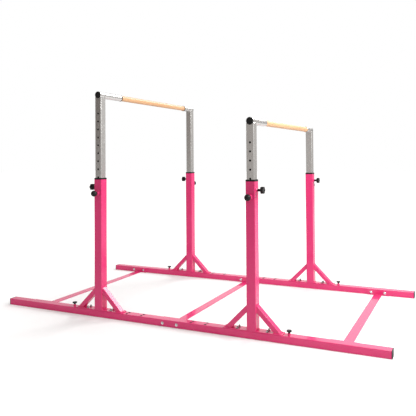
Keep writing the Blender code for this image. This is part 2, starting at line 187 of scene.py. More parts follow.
steelLook = {
    "light": (0.80, 0.79, 0.77),
    "dark": (0.60, 0.59, 0.57),
    "lineScale": {"along": 6, "across": 520},
    "scuffScale": {"along": 14, "across": 90},
    "cloudScale": 9,
    "lineDepth": 0.00012,
    "roughness": 0.15,
}


def brushedSteel(name, axis):
    # bright plating over drawn tube, with faint lines along the given axis
    look = steelLook
    finish = Finish(name)
    lineStretch, scuffStretch = (
        [scale["along"] if way == axis else scale["across"] for way in range(3)]
        for scale in (look["lineScale"], look["scuffScale"])
    )
    lines = finish.noise(finish.position(lineStretch), 1, 3, 0.6)
    cloud = finish.noise(finish.position(), look["cloudScale"], 4, 0.6)
    worn = finish.noise(finish.position(scuffStretch), 1, 5, 0.7).above(0.6, 0.12)
    base = finish.mixed(lines * 0.5 + cloud * 0.4, rgba(look["light"]), rgba(look["dark"]))
    rough = lines * 0.12 + cloud * 0.1 + worn * 0.08 + look["roughness"]
    surface = finish.bumped(lines + worn * 0.3, 0.1, look["lineDepth"])
    return finish.finished(Base_Color=base, Roughness=rough, Metallic=1.0, Normal=surface)


zincLook = {"crystalScale": 650, "cloudScale": 120, "crystalDepth": 0.0001, "roughness": 0.13}


def zincPlate(name, light, dark):
    look = zincLook
    finish = Finish(name)
    where = finish.position()
    cells = {"Vector": where, "Scale": look["crystalScale"]}
    crystal = finish.node("ShaderNodeTexVoronoi", {"feature": "F1"}, cells, "Distance")
    cloud = finish.noise(where, look["cloudScale"], 3)
    base = finish.mixed(cloud, rgba(light), rgba(dark))
    rough = crystal * 0.10 + cloud * 0.12 + look["roughness"]
    surface = finish.bumped(crystal, 0.08, look["crystalDepth"])
    return finish.finished(Base_Color=base, Roughness=rough, Metallic=1.0, Normal=surface)


plasticLook = {
    "black": ((0.006, 0.006, 0.006), (0.018, 0.018, 0.018)),
    "bronze": ((0.022, 0.014, 0.007), (0.055, 0.036, 0.018)),
    "flowScale": 40,
    "grainScale": 1500,
    "grainDepth": 0.00025,
    "specular": 0.2,
}


def darkSurface(name, colours, roughness, grain):
    look = plasticLook
    finish = Finish(name)
    where = finish.position()
    cells = {"Vector": where, "Scale": look["grainScale"]}
    pebble = finish.node("ShaderNodeTexVoronoi", {"feature": "SMOOTH_F1"}, cells, "Distance")
    flow = finish.noise(where, look["flowScale"], 3)
    base = finish.mixed(flow * 0.7 + pebble * 0.3, rgba(colours[0]), rgba(colours[1]))
    rough = flow * 0.1 + pebble * 0.1 + (roughness - 0.1)
    surface = finish.bumped(pebble, grain, look["grainDepth"])
    return finish.finished(
        Base_Color=base, Roughness=rough, Normal=surface, Specular_IOR_Level=look["specular"]
    )


beechLook = {
    "pale": (0.68, 0.405, 0.210),
    "warm": (0.55, 0.290, 0.130),
    "patch": (0.76, 0.50, 0.29),
    "fleck": (0.50, 0.27, 0.12),
    "pithShift": (0.05, 0, 0.07),
    "ringStretch": (1, 0.06, 1),
    "fibreStretch": (420, 7, 420),
    "fleckStretch": (750, 95, 750),
    "patchStretch": (14, 2.2, 14),
    "fibreDepth": 0.00022,
    "roughness": 0.34,
    "coat": 0.05,
    "coatRoughness": 0.3,
}


def beech(name, axisPoint):
    # growth rings round a pith line beside the bar, fine pores and short flecks along the grain
    look = beechLook
    finish = Finish(name)
    centre = [-(point + shift) for point, shift in zip(axisPoint, look["pithShift"])]
    rings = finish.node(
        "ShaderNodeTexWave",
        {"wave_type": "RINGS", "rings_direction": "Y", "wave_profile": "SAW"},
        {
            "Vector": finish.position(look["ringStretch"], centre), "Scale": 42, "Distortion": 5.0,
            "Detail": 3.0, "Detail Scale": 0.7, "Detail Roughness": 0.55,
        },
    )
    fibre = finish.noise(finish.position(look["fibreStretch"]), 1, 4, 0.6)
    flecks = finish.noise(finish.position(look["fleckStretch"]), 1, 1, 0.4).above(0.67, 0.05)
    patch = finish.noise(finish.position(look["patchStretch"]), 1, 3)
    figure = (rings * 0.55 + fibre * 0.45).above(0.25, 0.6)
    grain = finish.mixed(figure, rgba(look["pale"]), rgba(look["warm"]))
    tone = finish.mixed(patch.above(0.4, 0.35) * 0.35, grain, rgba(look["patch"]))
    base = finish.mixed(flecks * 0.45, tone, rgba(look["fleck"]))
    rough = fibre * 0.12 + flecks * 0.1 + patch * 0.06 + look["roughness"]
    surface = finish.bumped(fibre - flecks * 0.6, 0.16, look["fibreDepth"])
    return finish.finished(
        Base_Color=base, Roughness=rough, Normal=surface, Coat_Weight=look["coat"],
        Coat_Roughness=look["coatRoughness"],
    )


pink = powderCoat()
steelUpright = brushedSteel("brightSteelPost", 2)
steelSleeve = brushedSteel("brightSteelSleeve", 1)
steelCoupler = brushedSteel("brightSteelCoupler", 0)
zinc = zincPlate("zincPlatedFasteners", (0.84, 0.84, 0.83), (0.52, 0.53, 0.55))
# a darker copy of the zinc for the plate nuts: painted shade for the shade around them at the uprights' feet
paintedShadeZinc = zincPlate("paintedShadeZincNuts", (0.60, 0.60, 0.59), (0.20, 0.21, 0.22))
blackCap = darkSurface("blackMouldedPlastic", plasticLook["black"], 0.42, 0.22)
blackKnob = darkSurface("blackKnobPlastic", plasticLook["black"], 0.34, 0.14)
blackRubber = darkSurface("blackRubberRing", plasticLook["black"], 0.62, 0.3)
bronzed = darkSurface("bronzedInserts", plasticLook["bronze"], 0.5, 0.15)
print("materials made")


# mesh helpers
def linked(name, data):
    obj = bpy.data.objects.new(name, data)
    bpy.context.scene.collection.objects.link(obj)
    return obj


def meshObject(name, shape):
    mesh = bpy.data.meshes.new(name)
    shape.to_mesh(mesh)
    shape.free()
    return linked(name, mesh)


def withModifier(obj, kind, **settings):
    modifier = obj.modifiers.new(kind.title(), kind)
    for key, value in settings.items():
        setattr(modifier, key, value)


def applied(obj):
    # the finished mesh of an object and its stack; the object itself goes
    bpy.context.view_layer.update()
    mesh = bpy.data.meshes.new_from_object(obj.evaluated_get(bpy.context.evaluated_depsgraph_get()))
    mesh.transform(obj.matrix_world)
    bpy.data.objects.remove(obj)
    return mesh


def joined(name, meshes):
    shape = bmesh.new()
    for mesh in meshes:
        shape.from_mesh(mesh)
    whole = bpy.data.meshes.new(name)
    shape.to_mesh(whole)
    shape.free()
    return whole


def moved(mesh, matrix):
    copy = mesh.copy()
    copy.transform(matrix)
    if matrix.determinant() < 0:
        copy.flip_normals()
    return copy


def at(x, y, z):
    return Matrix.Translation((x, y, z))


def shifted(mesh, x=0.0, y=0.0, z=0.0):
    return moved(mesh, at(x, y, z))


def turnTo(direction):
    # the turn that takes +Z to direction
    return Vector(direction).to_track_quat("Z", "Y").to_matrix().to_4x4()


def pointed(mesh, direction):
    return moved(mesh, turnTo(direction))


def cleaned(mesh, distance):
    # near points merged, faces turned outwards
    shape = bmesh.new()
    shape.from_mesh(mesh)
    bmesh.ops.remove_doubles(shape, verts=shape.verts, dist=distance)
    bmesh.ops.recalc_face_normals(shape, faces=shape.faces)
    shape.to_mesh(mesh)
    shape.free()
    return mesh


def arc(centreX, centreY, radius, start, stop, steps):
    turns = [math.radians(start + (stop - start) * step / steps) for step in range(steps + 1)]
    return [(centreX + radius * math.cos(turn), centreY + radius * math.sin(turn)) for turn in turns]


def roundedRectangle(width, height, radius, steps=5):
    x, y = width / 2 - radius, height / 2 - radius
    corners = ((x, y, 0), (-x, y, 90), (-x, -y, 180), (x, -y, 270))
    return [point for cx, cy, turn in corners for point in arc(cx, cy, radius, turn, turn + 90, steps)]


def circle(radius, steps=24, x=0.0, y=0.0):
    return arc(x, y, radius, 0, 360 * (steps - 1) / steps, steps - 1)


def extruded(outlines, low, high):
    # outlines in XY, the first outside and any others holes, raised from z = low to high
    curve = bpy.data.curves.new("outline", "CURVE")
    curve.dimensions = "2D"
    curve.fill_mode = "BOTH"
    curve.extrude = (high - low) / 2
    for outline in outlines:
        spline = curve.splines.new("POLY")
        spline.points.add(len(outline) - 1)
        for point, (x, y) in zip(spline.points, outline):
            point.co = (x, y, 0, 1)
        spline.use_cyclic_u = True
    holder = linked("outline", curve)
    holder.location.z = (low + high) / 2
    mesh = applied(holder)
    bpy.data.curves.remove(curve)
    return cleaned(mesh, 0.000005)


def softened(mesh, width, segments=2, angle=50):
    # rounds the edges sharper than angle
    obj = linked("softened", mesh)
    withModifier(
        obj, "BEVEL", width=width, segments=segments, limit_method="ANGLE",
        angle_limit=math.radians(angle), use_clamp_overlap=True,
    )
    return applied(obj)


def carved(mesh, cutters):
    # the cutters are closed meshes that stay apart from each other
    obj = linked("carved", mesh)
    tool = linked("tool", joined("tool", cutters))
    withModifier(obj, "BOOLEAN", operation="DIFFERENCE", solver="EXACT", object=tool)
    cut = applied(obj)
    bpy.data.objects.remove(tool)
    return cut


def drill(radius, start, stop, steps=24):
    # a round cutter from one point to another
    start, stop = Vector(start), Vector(stop)
    bar = extruded([circle(radius, steps)], 0, (stop - start).length)
    return moved(bar, Matrix.Translation(start) @ turnTo(stop - start))


def turned(profile, steps=40):
    # profile points are (radius, height), down the outer side
    shape = bmesh.new()
    points = [shape.verts.new((radius, 0, height)) for radius, height in profile]
    for first, second in zip(points, points[1:]):
        shape.edges.new((first, second))
    obj = meshObject("turned", shape)
    withModifier(
        obj, "SCREW", steps=steps, render_steps=steps, use_merge_vertices=True, merge_threshold=0.00001,
    )
    return cleaned(applied(obj), 0.000002)


weldLook = {"radius": 0.0026, "ripplePitch": 0.0032, "ripple": 0.16}


def weldBead(route, closed=True):
    # a rippled bead along straight runs between the route's points
    look = weldLook
    spots = []
    for start, stop in zip(route, [*route[1:], route[0]] if closed else route[1:]):
        start, stop = Vector(start), Vector(stop)
        count = max(2, round((stop - start).length / look["ripplePitch"] * 2))
        spots += [start.lerp(stop, number / count) for number in range(count)]
    if not closed:
        spots.append(Vector(route[-1]))
    curve = bpy.data.curves.new("bead", "CURVE")
    curve.dimensions = "3D"
    curve.bevel_depth = look["radius"]
    curve.bevel_resolution = 2
    curve.use_fill_caps = not closed
    spline = curve.splines.new("POLY")
    spline.points.add(len(spots) - 1)
    for number, (point, spot) in enumerate(zip(spline.points, spots)):
        point.co = (*spot, 1)
        point.radius = 1 + look["ripple"] * (1 if number % 2 else -1)
    spline.use_cyclic_u = closed
    mesh = applied(linked("bead", curve))
    bpy.data.curves.remove(curve)
    return mesh


sharpAngle = math.radians(38)


def placed(name, mesh, material, body, replaced=()):
    # a finished piece at the origin, riding on its body
    mesh = mesh.copy()
    mesh.name = name
    mesh.materials.clear()
    mesh.materials.append(material)
    mesh.shade_smooth()
    mesh.set_sharp_from_angle(angle=sharpAngle)
    obj = linked(name, mesh)
    withModifier(obj, "WEIGHTED_NORMAL", keep_sharp=True, weight=60)
    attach(obj, body)
    if replaced:
        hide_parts(*replaced)


def middle(node):
    low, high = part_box(node)
    return (low + high) / 2


def span(node):
    low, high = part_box(node)
    return high - low


# left between pieces that would otherwise share a face
gap = 0.0003

railY = middle("rear_rail_left").y
railWidth = span("front_rail_left").y
railHeight = span("front_rail_left").z
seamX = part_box("front_rail_middle")[1].x
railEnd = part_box("front_rail_right")[1].x
memberX = middle("right_cross_member").x
postX = middle("front_right_collar").x
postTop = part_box("front_right_upright")[1].z

rail = {"wall": 0.003, "corner": 0.003, "boltHole": 0.0045, "edge": 0.0004}
spareHoles = (-0.341, -0.226, 0.149, 0.251)
plateBolt = {"x": (-0.097, 0.097), "y": (-0.015, 0.015)}
flangeBolt = 0.052


def squareTube(width, height, wall, corner, low, high):
    outer = roundedRectangle(width, height, corner)
    inner = roundedRectangle(width - 2 * wall, height - 2 * wall, max(corner - wall, 0.0008), 3)
    return extruded([outer, inner[::-1]], low, high)


def alongX(mesh):
    # a mesh made along Z lies down along X, its XY outline standing in YZ
    return moved(mesh, Matrix(((0, 0, 1, 0), (1, 0, 0, 0), (0, 1, 0, 0), (0, 0, 0, 1))))


def railTube(low, high):
    tube = squareTube(railWidth, railHeight, rail["wall"], rail["corner"], low, high)
    return shifted(alongX(tube), z=railHeight / 2)


railKnob = {
    "x": middle("front_right_rail_knob").x,
    "radius": span("front_right_rail_knob").x / 2,
    "bossTop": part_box("front_rail_middle")[1].z,
    "bossRadius": 0.008, "bossEdge": 0.001, "bore": 0.0044,
    "headHeight": 0.0078, "flutes": 14, "fluteDepth": 0.0011,
}


def railBoss():
    # from just inside the tube's top to the knob, with a welded foot
    low, top = railHeight - 0.0002, railKnob["bossTop"]
    radius, bore, edge = railKnob["bossRadius"], railKnob["bore"], railKnob["bossEdge"]
    outside = [(bore, top), (radius - edge, top), (radius, top - edge), (radius, low + 0.003)]
    foot = [(radius + 0.0008, low + 0.0009), (radius + 0.0024, low)]
    return turned([*outside, *foot, (bore, low), (bore, top)], 32)


def middleRail():
    used = [side * postX + offset for side in sides.values() for offset in plateBolt["x"]]
    drills = [
        drill(rail["boltHole"], (x, y, railHeight / 2), (x, y, railHeight + 0.01), 20)
        for x in (*used, *spareHoles) for y in plateBolt["y"]
    ]
    drills += [
        drill(rail["boltHole"], (x, -railWidth, railHeight / 2), (x, railWidth, railHeight / 2), 20)
        for x in (-flangeBolt, flangeBolt)
    ]
    for x in (-railKnob["x"], railKnob["x"]):
        drills.append(drill(railKnob["bore"], (x, 0, railHeight / 2), (x, 0, railHeight + 0.01)))
    tube = softened(carved(railTube(-seamX, seamX), drills), rail["edge"], 2, 60)
    bosses = [shifted(railBoss(), x=side * railKnob["x"]) for side in sides.values()]
    return joined("middleRail", [tube, *bosses])


threadPitch = 0.00125
insert = {
    "bore": 0.0040, "shank": 0.0044, "flange": 0.0080, "proud": 0.0010, "depth": 0.012,
    "edge": 0.0003, "threadDepth": 0.0004,
}


def threadedInsert():
    # a rivet nut's flange over the rail's top and its ridged bore below
    bore, shank, flange, proud = insert["bore"], insert["shank"], insert["flange"], insert["proud"]
    edge, ridge, bottom = insert["edge"], insert["threadDepth"], -insert["depth"]
    rim = [(flange - edge, proud), (flange, proud - edge), (flange, 0.0001)]
    shaft = [(shank, 0.0001), (shank, bottom)]
    thread = []
    z = bottom
    while z < -0.0006:
        thread += [(bore, z), (bore - ridge, z + 0.0006)]
        z += threadPitch
    mouth = [(bore, -0.0004), (bore + 0.0004, proud)]
    return turned([*rim, *shaft, *thread, *mouth, rim[0]], 24)


def inserts():
    spare = threadedInsert()
    for end, way in ends.items():
        for number, x in enumerate(spareHoles, 1):
            for row, y in enumerate(plateBolt["y"], 1):
                here = shifted(spare, x, way * railY + y, railHeight)
                placed(f"{end}_rail_insert_{number}_{row}", here, bronzed, "base")


def rails():
    long = middleRail()
    short = softened(railTube(seamX + gap, railEnd), rail["edge"], 2, 60)
    for end, way in ends.items():
        node = f"{end}_rail_middle"
        placed(node + "_tube", shifted(long, y=way * railY), pink, "base", [node])
        for side, hand in sides.items():
            node = f"{end}_rail_{side}"
            turn = at(0, way * railY, 0) @ Matrix.Diagonal((hand, 1, 1, 1))
            body = f"{side}_end_frame"
            placed(node + "_tube", moved(short, turn), pink, body, [node])


endCap = {
    "corner": 0.0035, "edge": 0.0016, "plugSlack": 0.004, "plugCorner": 0.002,
    "ribs": 3, "firstRib": 0.004, "ribPitch": 0.005, "ribWidth": 0.0016, "ribProud": 0.0012,
}


def railEndCap():
    # flange outside the tube, plug inside with ribs that grip it
    low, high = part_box("front_right_rail_cap")
    start, stop = railEnd + gap, high.x
    outline = roundedRectangle(railWidth, railHeight, endCap["corner"])
    flange = softened(extruded([outline], start, stop), endCap["edge"], 3)
    plugWidth = railWidth - 2 * rail["wall"] - endCap["plugSlack"]
    plugHeight = railHeight - 2 * rail["wall"] - endCap["plugSlack"]
    outline = roundedRectangle(plugWidth, plugHeight, endCap["plugCorner"], 3)
    parts = [flange, softened(extruded([outline], low.x, start + 0.001), 0.001)]
    proud = 2 * endCap["ribProud"]
    outline = roundedRectangle(plugWidth + proud, plugHeight + proud, endCap["plugCorner"], 3)
    for number in range(endCap["ribs"]):
        x = start - endCap["firstRib"] - number * endCap["ribPitch"]
        parts.append(softened(extruded([outline], x - endCap["ribWidth"], x), 0.0005))
    return shifted(alongX(joined("endCap", parts)), z=railHeight / 2)


couplerTube = {"wall": 0.0025, "corner": 0.003, "edge": 0.0004}


def railEnds():
    cap = railEndCap()
    low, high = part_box("front_right_rail_coupler")
    wall, corner = couplerTube["wall"], couplerTube["corner"]
    coupler = squareTube(high.y - low.y, high.z - low.z, wall, corner, low.x, high.x)
    coupler = shifted(softened(alongX(coupler), couplerTube["edge"]), z=(low.z + high.z) / 2)
    for end, side in places:
        turn = at(0, ends[end] * railY, 0) @ Matrix.Diagonal((sides[side], 1, 1, 1))
        body = f"{side}_end_frame"
        node = f"{end}_{side}_rail_cap"
        placed(node + "_moulding", moved(cap, turn), blackCap, body, [node])
        node = f"{end}_{side}_rail_coupler"
        placed(node + "_tube", moved(coupler, turn), steelCoupler, body, [node])


rails()
inserts()
railEnds()
print("rails made")

fastener = {
    "across": 0.013, "head": 0.0053, "nut": 0.0072, "shank": 0.004,
    "washer": 0.0100, "washerThick": 0.0016, "washerEdge": 0.0004,
    "threadDepth": 0.0006, "threadTurns": 5,
}


def hexagon(across, thick):
    # a hexagon with its top corners turned off
    corner = across / math.sqrt(3)
    prism = extruded([arc(0, 0, corner, 0, 300, 5)], 0, thick)
    wide = corner + 0.0004
    slope = [(0, thick), (across / 2 * 0.94, thick), (wide, thick - 0.0014)]
    crown = turned([*slope, (wide, -0.001), (0, -0.001)], 32)
    block, limit = linked("block", prism), linked("limit", crown)
    withModifier(block, "BOOLEAN", operation="INTERSECT", solver="EXACT", object=limit)
    mesh = applied(block)
    bpy.data.objects.remove(limit)
    return mesh


def washer():
    hole, rim = fastener["shank"] + gap, fastener["washer"]
    thick, edge = fastener["washerThick"], fastener["washerEdge"]
    top = [(hole, thick), (rim - edge, thick), (rim, thick - edge)]
    return turned([*top, (rim, 0), (hole, 0), (hole, thick)], 32)


def boltHead():
    head = shifted(hexagon(fastener["across"], fastener["head"]), z=fastener["washerThick"])
    return joined("boltHead", [washer(), head])


def nutOnBolt(stickOut):
    # washer, nut, and the bolt's chamfered end with its thread
    base = fastener["washerThick"]
    nut = shifted(hexagon(fastener["across"], fastener["nut"]), z=base)
    shank, top = fastener["shank"], base + fastener["nut"] + stickOut
    root = shank - fastener["threadDepth"]
    profile = [(0, top), (shank - 0.0012, top), (shank - 0.0002, top - 0.001)]
    for number in range(fastener["threadTurns"]):
        z = top - 0.001 - number * threadPitch
        profile += [(shank, z - 0.0004), (root, z - 0.0010)]
    profile += [(root, 0), (0, 0)]
    return joined("nutOnBolt", [washer(), nut, turned(profile, 24)])


member = {
    "width": span("middle_cross_member").x, "barWidth": 0.060, "thick": 0.005,
    "flange": 0.005, "lift": 0.0018, "corner": 0.006,
}
memberPlaces = {
    "left": (-memberX, "left_end_frame"),
    "middle": (0, "base"),
    "right": (memberX, "right_end_frame"),
}


def crossMember():
    # the flat bar, a flange at each end with its two holes, and the welds between
    half = railY - railWidth / 2 - gap
    side, top = member["barWidth"] / 2, member["thick"]
    height = railHeight - 0.001
    outline = [(-side, -half), (side, -half), (side, half), (-side, half)]
    parts = [softened(extruded([outline], member["lift"], top), 0.0008)]
    for way in ends.values():
        outline = roundedRectangle(member["width"], height, member["corner"], 4)
        holes = [circle(rail["boltHole"], 20, x, 0)[::-1] for x in (-flangeBolt, flangeBolt)]
        flange = softened(extruded([outline, *holes], 0, member["flange"]), 0.0006)
        flange = moved(flange, Matrix.Rotation(math.pi / 2, 4, "X"))
        inner = half if way > 0 else -half + member["flange"]
        parts.append(shifted(flange, y=inner, z=height / 2))
        seam = way * (half - member["flange"])
        reach = side - 0.002
        parts.append(weldBead([(-reach, seam, top), (reach, seam, top)], closed=False))
    return joined("crossMember", parts)


def crossMembers():
    strip = crossMember()
    head = boltHead()
    nut = nutOnBolt(stickOut=0.004)
    face = railY - railWidth / 2 - gap - member["flange"]
    z = railHeight / 2
    for name, (x, body) in memberPlaces.items():
        node = f"{name}_cross_member"
        placed(node + "_bar", shifted(strip, x=x), pink, body, [node])
        for end, way in ends.items():
            fixing = nut if (end, name) == ("front", "middle") else head
            for side, hand in sides.items():
                spot = at(x + hand * flangeBolt, way * face, z)
                bolt = moved(pointed(fixing, (0, -way, 0)), spot)
                placed(f"{end}_{name}_flange_bolt_{side}", bolt, zinc, body)
    for side, hand in sides.items():
        node = f"front_middle_bolt_{side}"
        spot = at(hand * flangeBolt, -railY - railWidth / 2 - gap, z)
        bolt = moved(pointed(head, (0, -1, 0)), spot)
        placed(node + "_head", bolt, zinc, "base", [node])


crossMembers()
print("cross-members made")

upright = {
    "side": span("front_right_collar").x - 0.001,
    "wall": 0.003, "corner": 0.003,
    "base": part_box("front_right_upright")[0].z,
    "plateLength": span("front_right_upright").x,
    "plateThick": 0.005, "plateCorner": 0.007,
    "braceDepth": 0.040, "braceFace": 0.044, "braceRise": 0.152, "braceCorner": 0.004,
}
pinZ = middle("front_right_pull_pin").z
clampZ = middle("front_right_clamp_knob").z
pinBoss = {"radius": 0.013, "length": 0.014, "bore": 0.0053}
clampBoss = {"radius": 0.012, "length": 0.007, "bore": 0.0045}


def brace():
    # a cage of one leaning tube, its four long edges marked for the rounding
    half, foot = upright["side"] / 2, upright["plateThick"] - 0.0005
    top = upright["plateThick"] + upright["braceRise"]
    face = upright["braceFace"]
    inside = half - 0.001
    lean = top - foot
    upper = [(inside, top + 0.001), (inside, top - face + 0.001)]
    outline = [*upper, (half + lean - face, foot), (half + lean, foot)]
    shape = bmesh.new()
    near = shape.faces.new([shape.verts.new((x, -upright["braceDepth"] / 2, z)) for x, z in outline])
    grown = bmesh.ops.extrude_face_region(shape, geom=[near])["geom"]
    far = [vert for vert in grown if isinstance(vert, bmesh.types.BMVert)]
    bmesh.ops.translate(shape, vec=(0, upright["braceDepth"], 0), verts=far)
    bmesh.ops.recalc_face_normals(shape, faces=shape.faces)
    weights = shape.edges.layers.float.new("bevel_weight_edge")
    for edge in shape.edges:
        run = edge.verts[0].co - edge.verts[1].co
        edge[weights] = 1.0 if abs(run.x) > 0.01 and abs(run.z) > 0.01 else 0.0
    obj = meshObject("brace", shape)
    withModifier(obj, "BEVEL", width=upright["braceCorner"], segments=4, limit_method="WEIGHT")
    return applied(obj)


def boss(size):
    # a turned collar with its rim chamfered and a weld fillet at its foot
    radius, length, bore, rim = size["radius"], size["length"], size["bore"], 0.0012
    outside = [(bore, length), (radius - rim, length), (radius, length - rim), (radius, 0.0025)]
    return turned([*outside, (radius + 0.0022, 0), (bore, 0), (bore, length)], 36)


def uprightBody():
    # the front right upright about its post's foot; the others are turned or mirrored from it
    half, thick = upright["side"] / 2, upright["plateThick"]
    top = postTop - upright["base"]
    pin, clamp = pinZ - upright["base"], clampZ - upright["base"]
    post = squareTube(upright["side"], upright["side"], upright["wall"], upright["corner"], thick, top)
    bores = [
        drill(pinBoss["bore"], (0, -half - 0.01, pin), (0, -half + 0.01, pin)),
        drill(clampBoss["bore"], (half - 0.01, 0, clamp), (half + 0.01, 0, clamp)),
    ]
    post = softened(carved(post, bores), 0.0005, 2, 60)
    outline = roundedRectangle(upright["plateLength"], upright["side"], upright["plateCorner"])
    holes = [
        circle(rail["boltHole"], 20, x, y)[::-1]
        for x in plateBolt["x"] for y in plateBolt["y"]
    ]
    plate = softened(extruded([outline, *holes], 0, thick), 0.0008)
    parts = [post, plate]
    parts.append(shifted(pointed(boss(pinBoss), (0, -1, 0)), y=-half, z=pin))
    parts.append(shifted(pointed(boss(clampBoss), (1, 0, 0)), x=half, z=clamp))
    leg = brace()
    depth = upright["braceDepth"] / 2
    braceTop = thick + upright["braceRise"]
    lowest = braceTop - upright["braceFace"]
    foot = half + upright["braceRise"]
    heel = foot - upright["braceFace"]
    for hand in sides.values():
        parts.append(moved(leg, Matrix.Diagonal((hand, 1, 1, 1))))
        join = [(depth, lowest), (depth, braceTop), (-depth, braceTop), (-depth, lowest)]
        parts.append(weldBead([(hand * half, y, z) for y, z in join]))
        toe = [(heel, depth), (foot, depth), (foot, -depth), (heel, -depth)]
        parts.append(weldBead([(hand * x, y, thick) for x, y in toe]))
    inset = half - 0.0012
    for way in (-1, 1):
        parts.append(weldBead([(way * half, -inset, thick), (way * half, inset, thick)], closed=False))
    return joined("upright", parts)


telescope = {
    "side": span("high_bar_front_post").x,
    "wall": 0.002, "corner": 0.003, "saddle": 0.012,
    "hole": 0.0068, "holeCount": 11, "pitch": 0.055, "firstHole": 0.130, "belowLastHole": 0.060,
}
lastHole = -telescope["firstHole"] - (telescope["holeCount"] - 1) * telescope["pitch"]
telescopeFoot = lastHole - telescope["belowLastHole"]
collar = {"corner": 0.0035, "edge": 0.0016, "opening": telescope["side"] + 0.0006}


def collarRing():
    low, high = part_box("front_right_collar")
    start, side = postTop + gap, high.x - low.x
    opening = roundedRectangle(collar["opening"], collar["opening"], telescope["corner"])
    flange = extruded([roundedRectangle(side, side, collar["corner"]), opening[::-1]], start, high.z)
    skirtSide = upright["side"] - 2 * upright["wall"] - 0.001
    skirt = roundedRectangle(skirtSide, skirtSide, 0.003)
    skirt = extruded([skirt, opening[::-1]], low.z, start + 0.001)
    return joined("collar", [softened(flange, collar["edge"], 3), softened(skirt, 0.0002, 1)])


def uprights():
    whole = uprightBody()
    ring = collarRing()
    nut = nutOnBolt(stickOut=0.0055)
    bolts = [
        shifted(nut, x, y, upright["base"] + upright["plateThick"])
        for x in plateBolt["x"] for y in plateBolt["y"]
    ]
    for end, side in places:
        way, hand = ends[end], sides[side]
        turn = at(hand * postX, way * railY, upright["base"]) @ Matrix.Diagonal((hand, -way, 1, 1))
        node = f"{end}_{side}_upright"
        placed(node + "_weldment", moved(whole, turn), pink, "base", [node])
        here = at(hand * postX, way * railY, 0)
        node = f"{end}_{side}_collar"
        placed(node + "_ring", moved(ring, here), blackCap, "base", [node])
        for number, bolt in enumerate(bolts, 1):
            # the plate nuts take the darker zinc, which is painted shade
            placed(f"{end}_{side}_plate_nut_{number}", moved(bolt, here), paintedShadeZinc, "base")


uprights()
print("uprights made")

sleeve = {"radius": 0.0225, "bore": 0.0203, "rim": 0.0006, "screwHole": 0.0026}
screwSpot = {end: middle(f"high_bar_{end}_screw").y for end in ends}


def telescopicPost():
    # about the bar's axis, with its holes towards -Y
    side, top = telescope["side"], -telescope["saddle"]
    tube = squareTube(side, side, telescope["wall"], telescope["corner"], telescopeFoot, top)
    drills = []
    for number in range(telescope["holeCount"]):
        z = -telescope["firstHole"] - number * telescope["pitch"]
        start, stop = (0, -side / 2 - 0.005, z), (0, -side / 2 + 0.008, z)
        drills.append(drill(telescope["hole"], start, stop, 20))
    tube = softened(carved(tube, drills), 0.0004, 2, 60)
    inside = side - 2 * telescope["wall"]
    lid = extruded([roundedRectangle(inside, inside, 0.0025, 4)], top - 0.003, top - 0.0003)
    return joined("telescopicPost", [tube, lid])


def postInsidePaintedShade():
    # a black sheet on the tube's three inner walls: painted shade that makes the holes look dark
    half = telescope["side"] / 2 - telescope["wall"] - gap
    deep, front = half - 0.0006, -half + 0.005
    inner = [(-deep, front), (-deep, deep), (deep, deep), (deep, front)]
    outline = [(-half, front), *inner, (half, front), (half, half), (-half, half)]
    return extruded([outline], telescopeFoot + 0.002, -telescope["saddle"] - 0.004)


def saddleWeld():
    # a bead where the sleeve meets the post's top, run at the sleeve's two sides
    half = telescope["side"] / 2 - 0.002
    drop = telescope["saddle"]
    reach = math.sqrt(sleeve["radius"] ** 2 - drop ** 2)
    runs = [[(x, -half, -drop), (x, half, -drop)] for x in (-reach, reach)]
    return joined("saddleWeld", [weldBead(run, closed=False) for run in runs])


def sleeveTube(end):
    low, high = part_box(f"high_bar_{end}_post")
    outer, inner, rim = sleeve["radius"], sleeve["bore"], sleeve["rim"]
    outside = [(outer - rim, high.y), (outer, high.y - rim), (outer, low.y + rim), (outer - rim, low.y)]
    mouth = [(inner, high.y - rim), (inner + rim, high.y)]
    inside = [(inner + rim, low.y), (inner, low.y + rim), mouth[0]]
    tube = pointed(turned([*mouth, *outside, *inside], 56), (0, 1, 0))
    y = screwSpot[end]
    return carved(tube, [drill(sleeve["screwHole"], (0.01, y, 0), (0.03, y, 0), 16)])


cap = {
    "radius": span("high_bar_front_cap").x / 2,
    "thick": 0.006, "dome": 0.0022, "edge": 0.0014, "plug": 0.0195, "plugEnd": -0.0142,
}


def barCap():
    # about the sleeve's mouth, pointing along +Z
    radius, thick, dome = cap["radius"], cap["thick"], cap["dome"]
    plug, end = cap["plug"], cap["plugEnd"]
    face = [(radius * 0.62 * step / 4, thick - dome * 0.25 * (step / 4) ** 2) for step in range(5)]
    edge = arc(radius - cap["edge"], thick - dome - cap["edge"], cap["edge"], 70, 0, 4)
    back = [(radius, gap + 0.0006), (radius - 0.0006, gap), (plug, gap)]
    nose = [(plug, end + 0.0017), (plug - 0.001, end), (0, end)]
    return turned([*face, (radius * 0.85, thick - dome * 0.62), *edge, *back, *nose], 56)


ring = {"radius": 0.0232, "edge": 0.0014, "bore": 0.0203}


def woodRing():
    half = span("high_bar_front_ring").y / 2
    bore, radius, edge = ring["bore"], ring["radius"], ring["edge"]
    upper = arc(radius - edge, half - edge, edge, 90, 0, 4)
    lower = arc(radius - edge, -half + edge, edge, 0, -90, 4)
    band = turned([(bore, half), *upper, *lower, (bore, -half), (bore, half)], 56)
    return pointed(band, (0, 1, 0))


panHead = {"radius": 0.005, "height": 0.003, "side": 0.0008, "shank": 0.0022, "slot": (0.0056, 0.0011)}


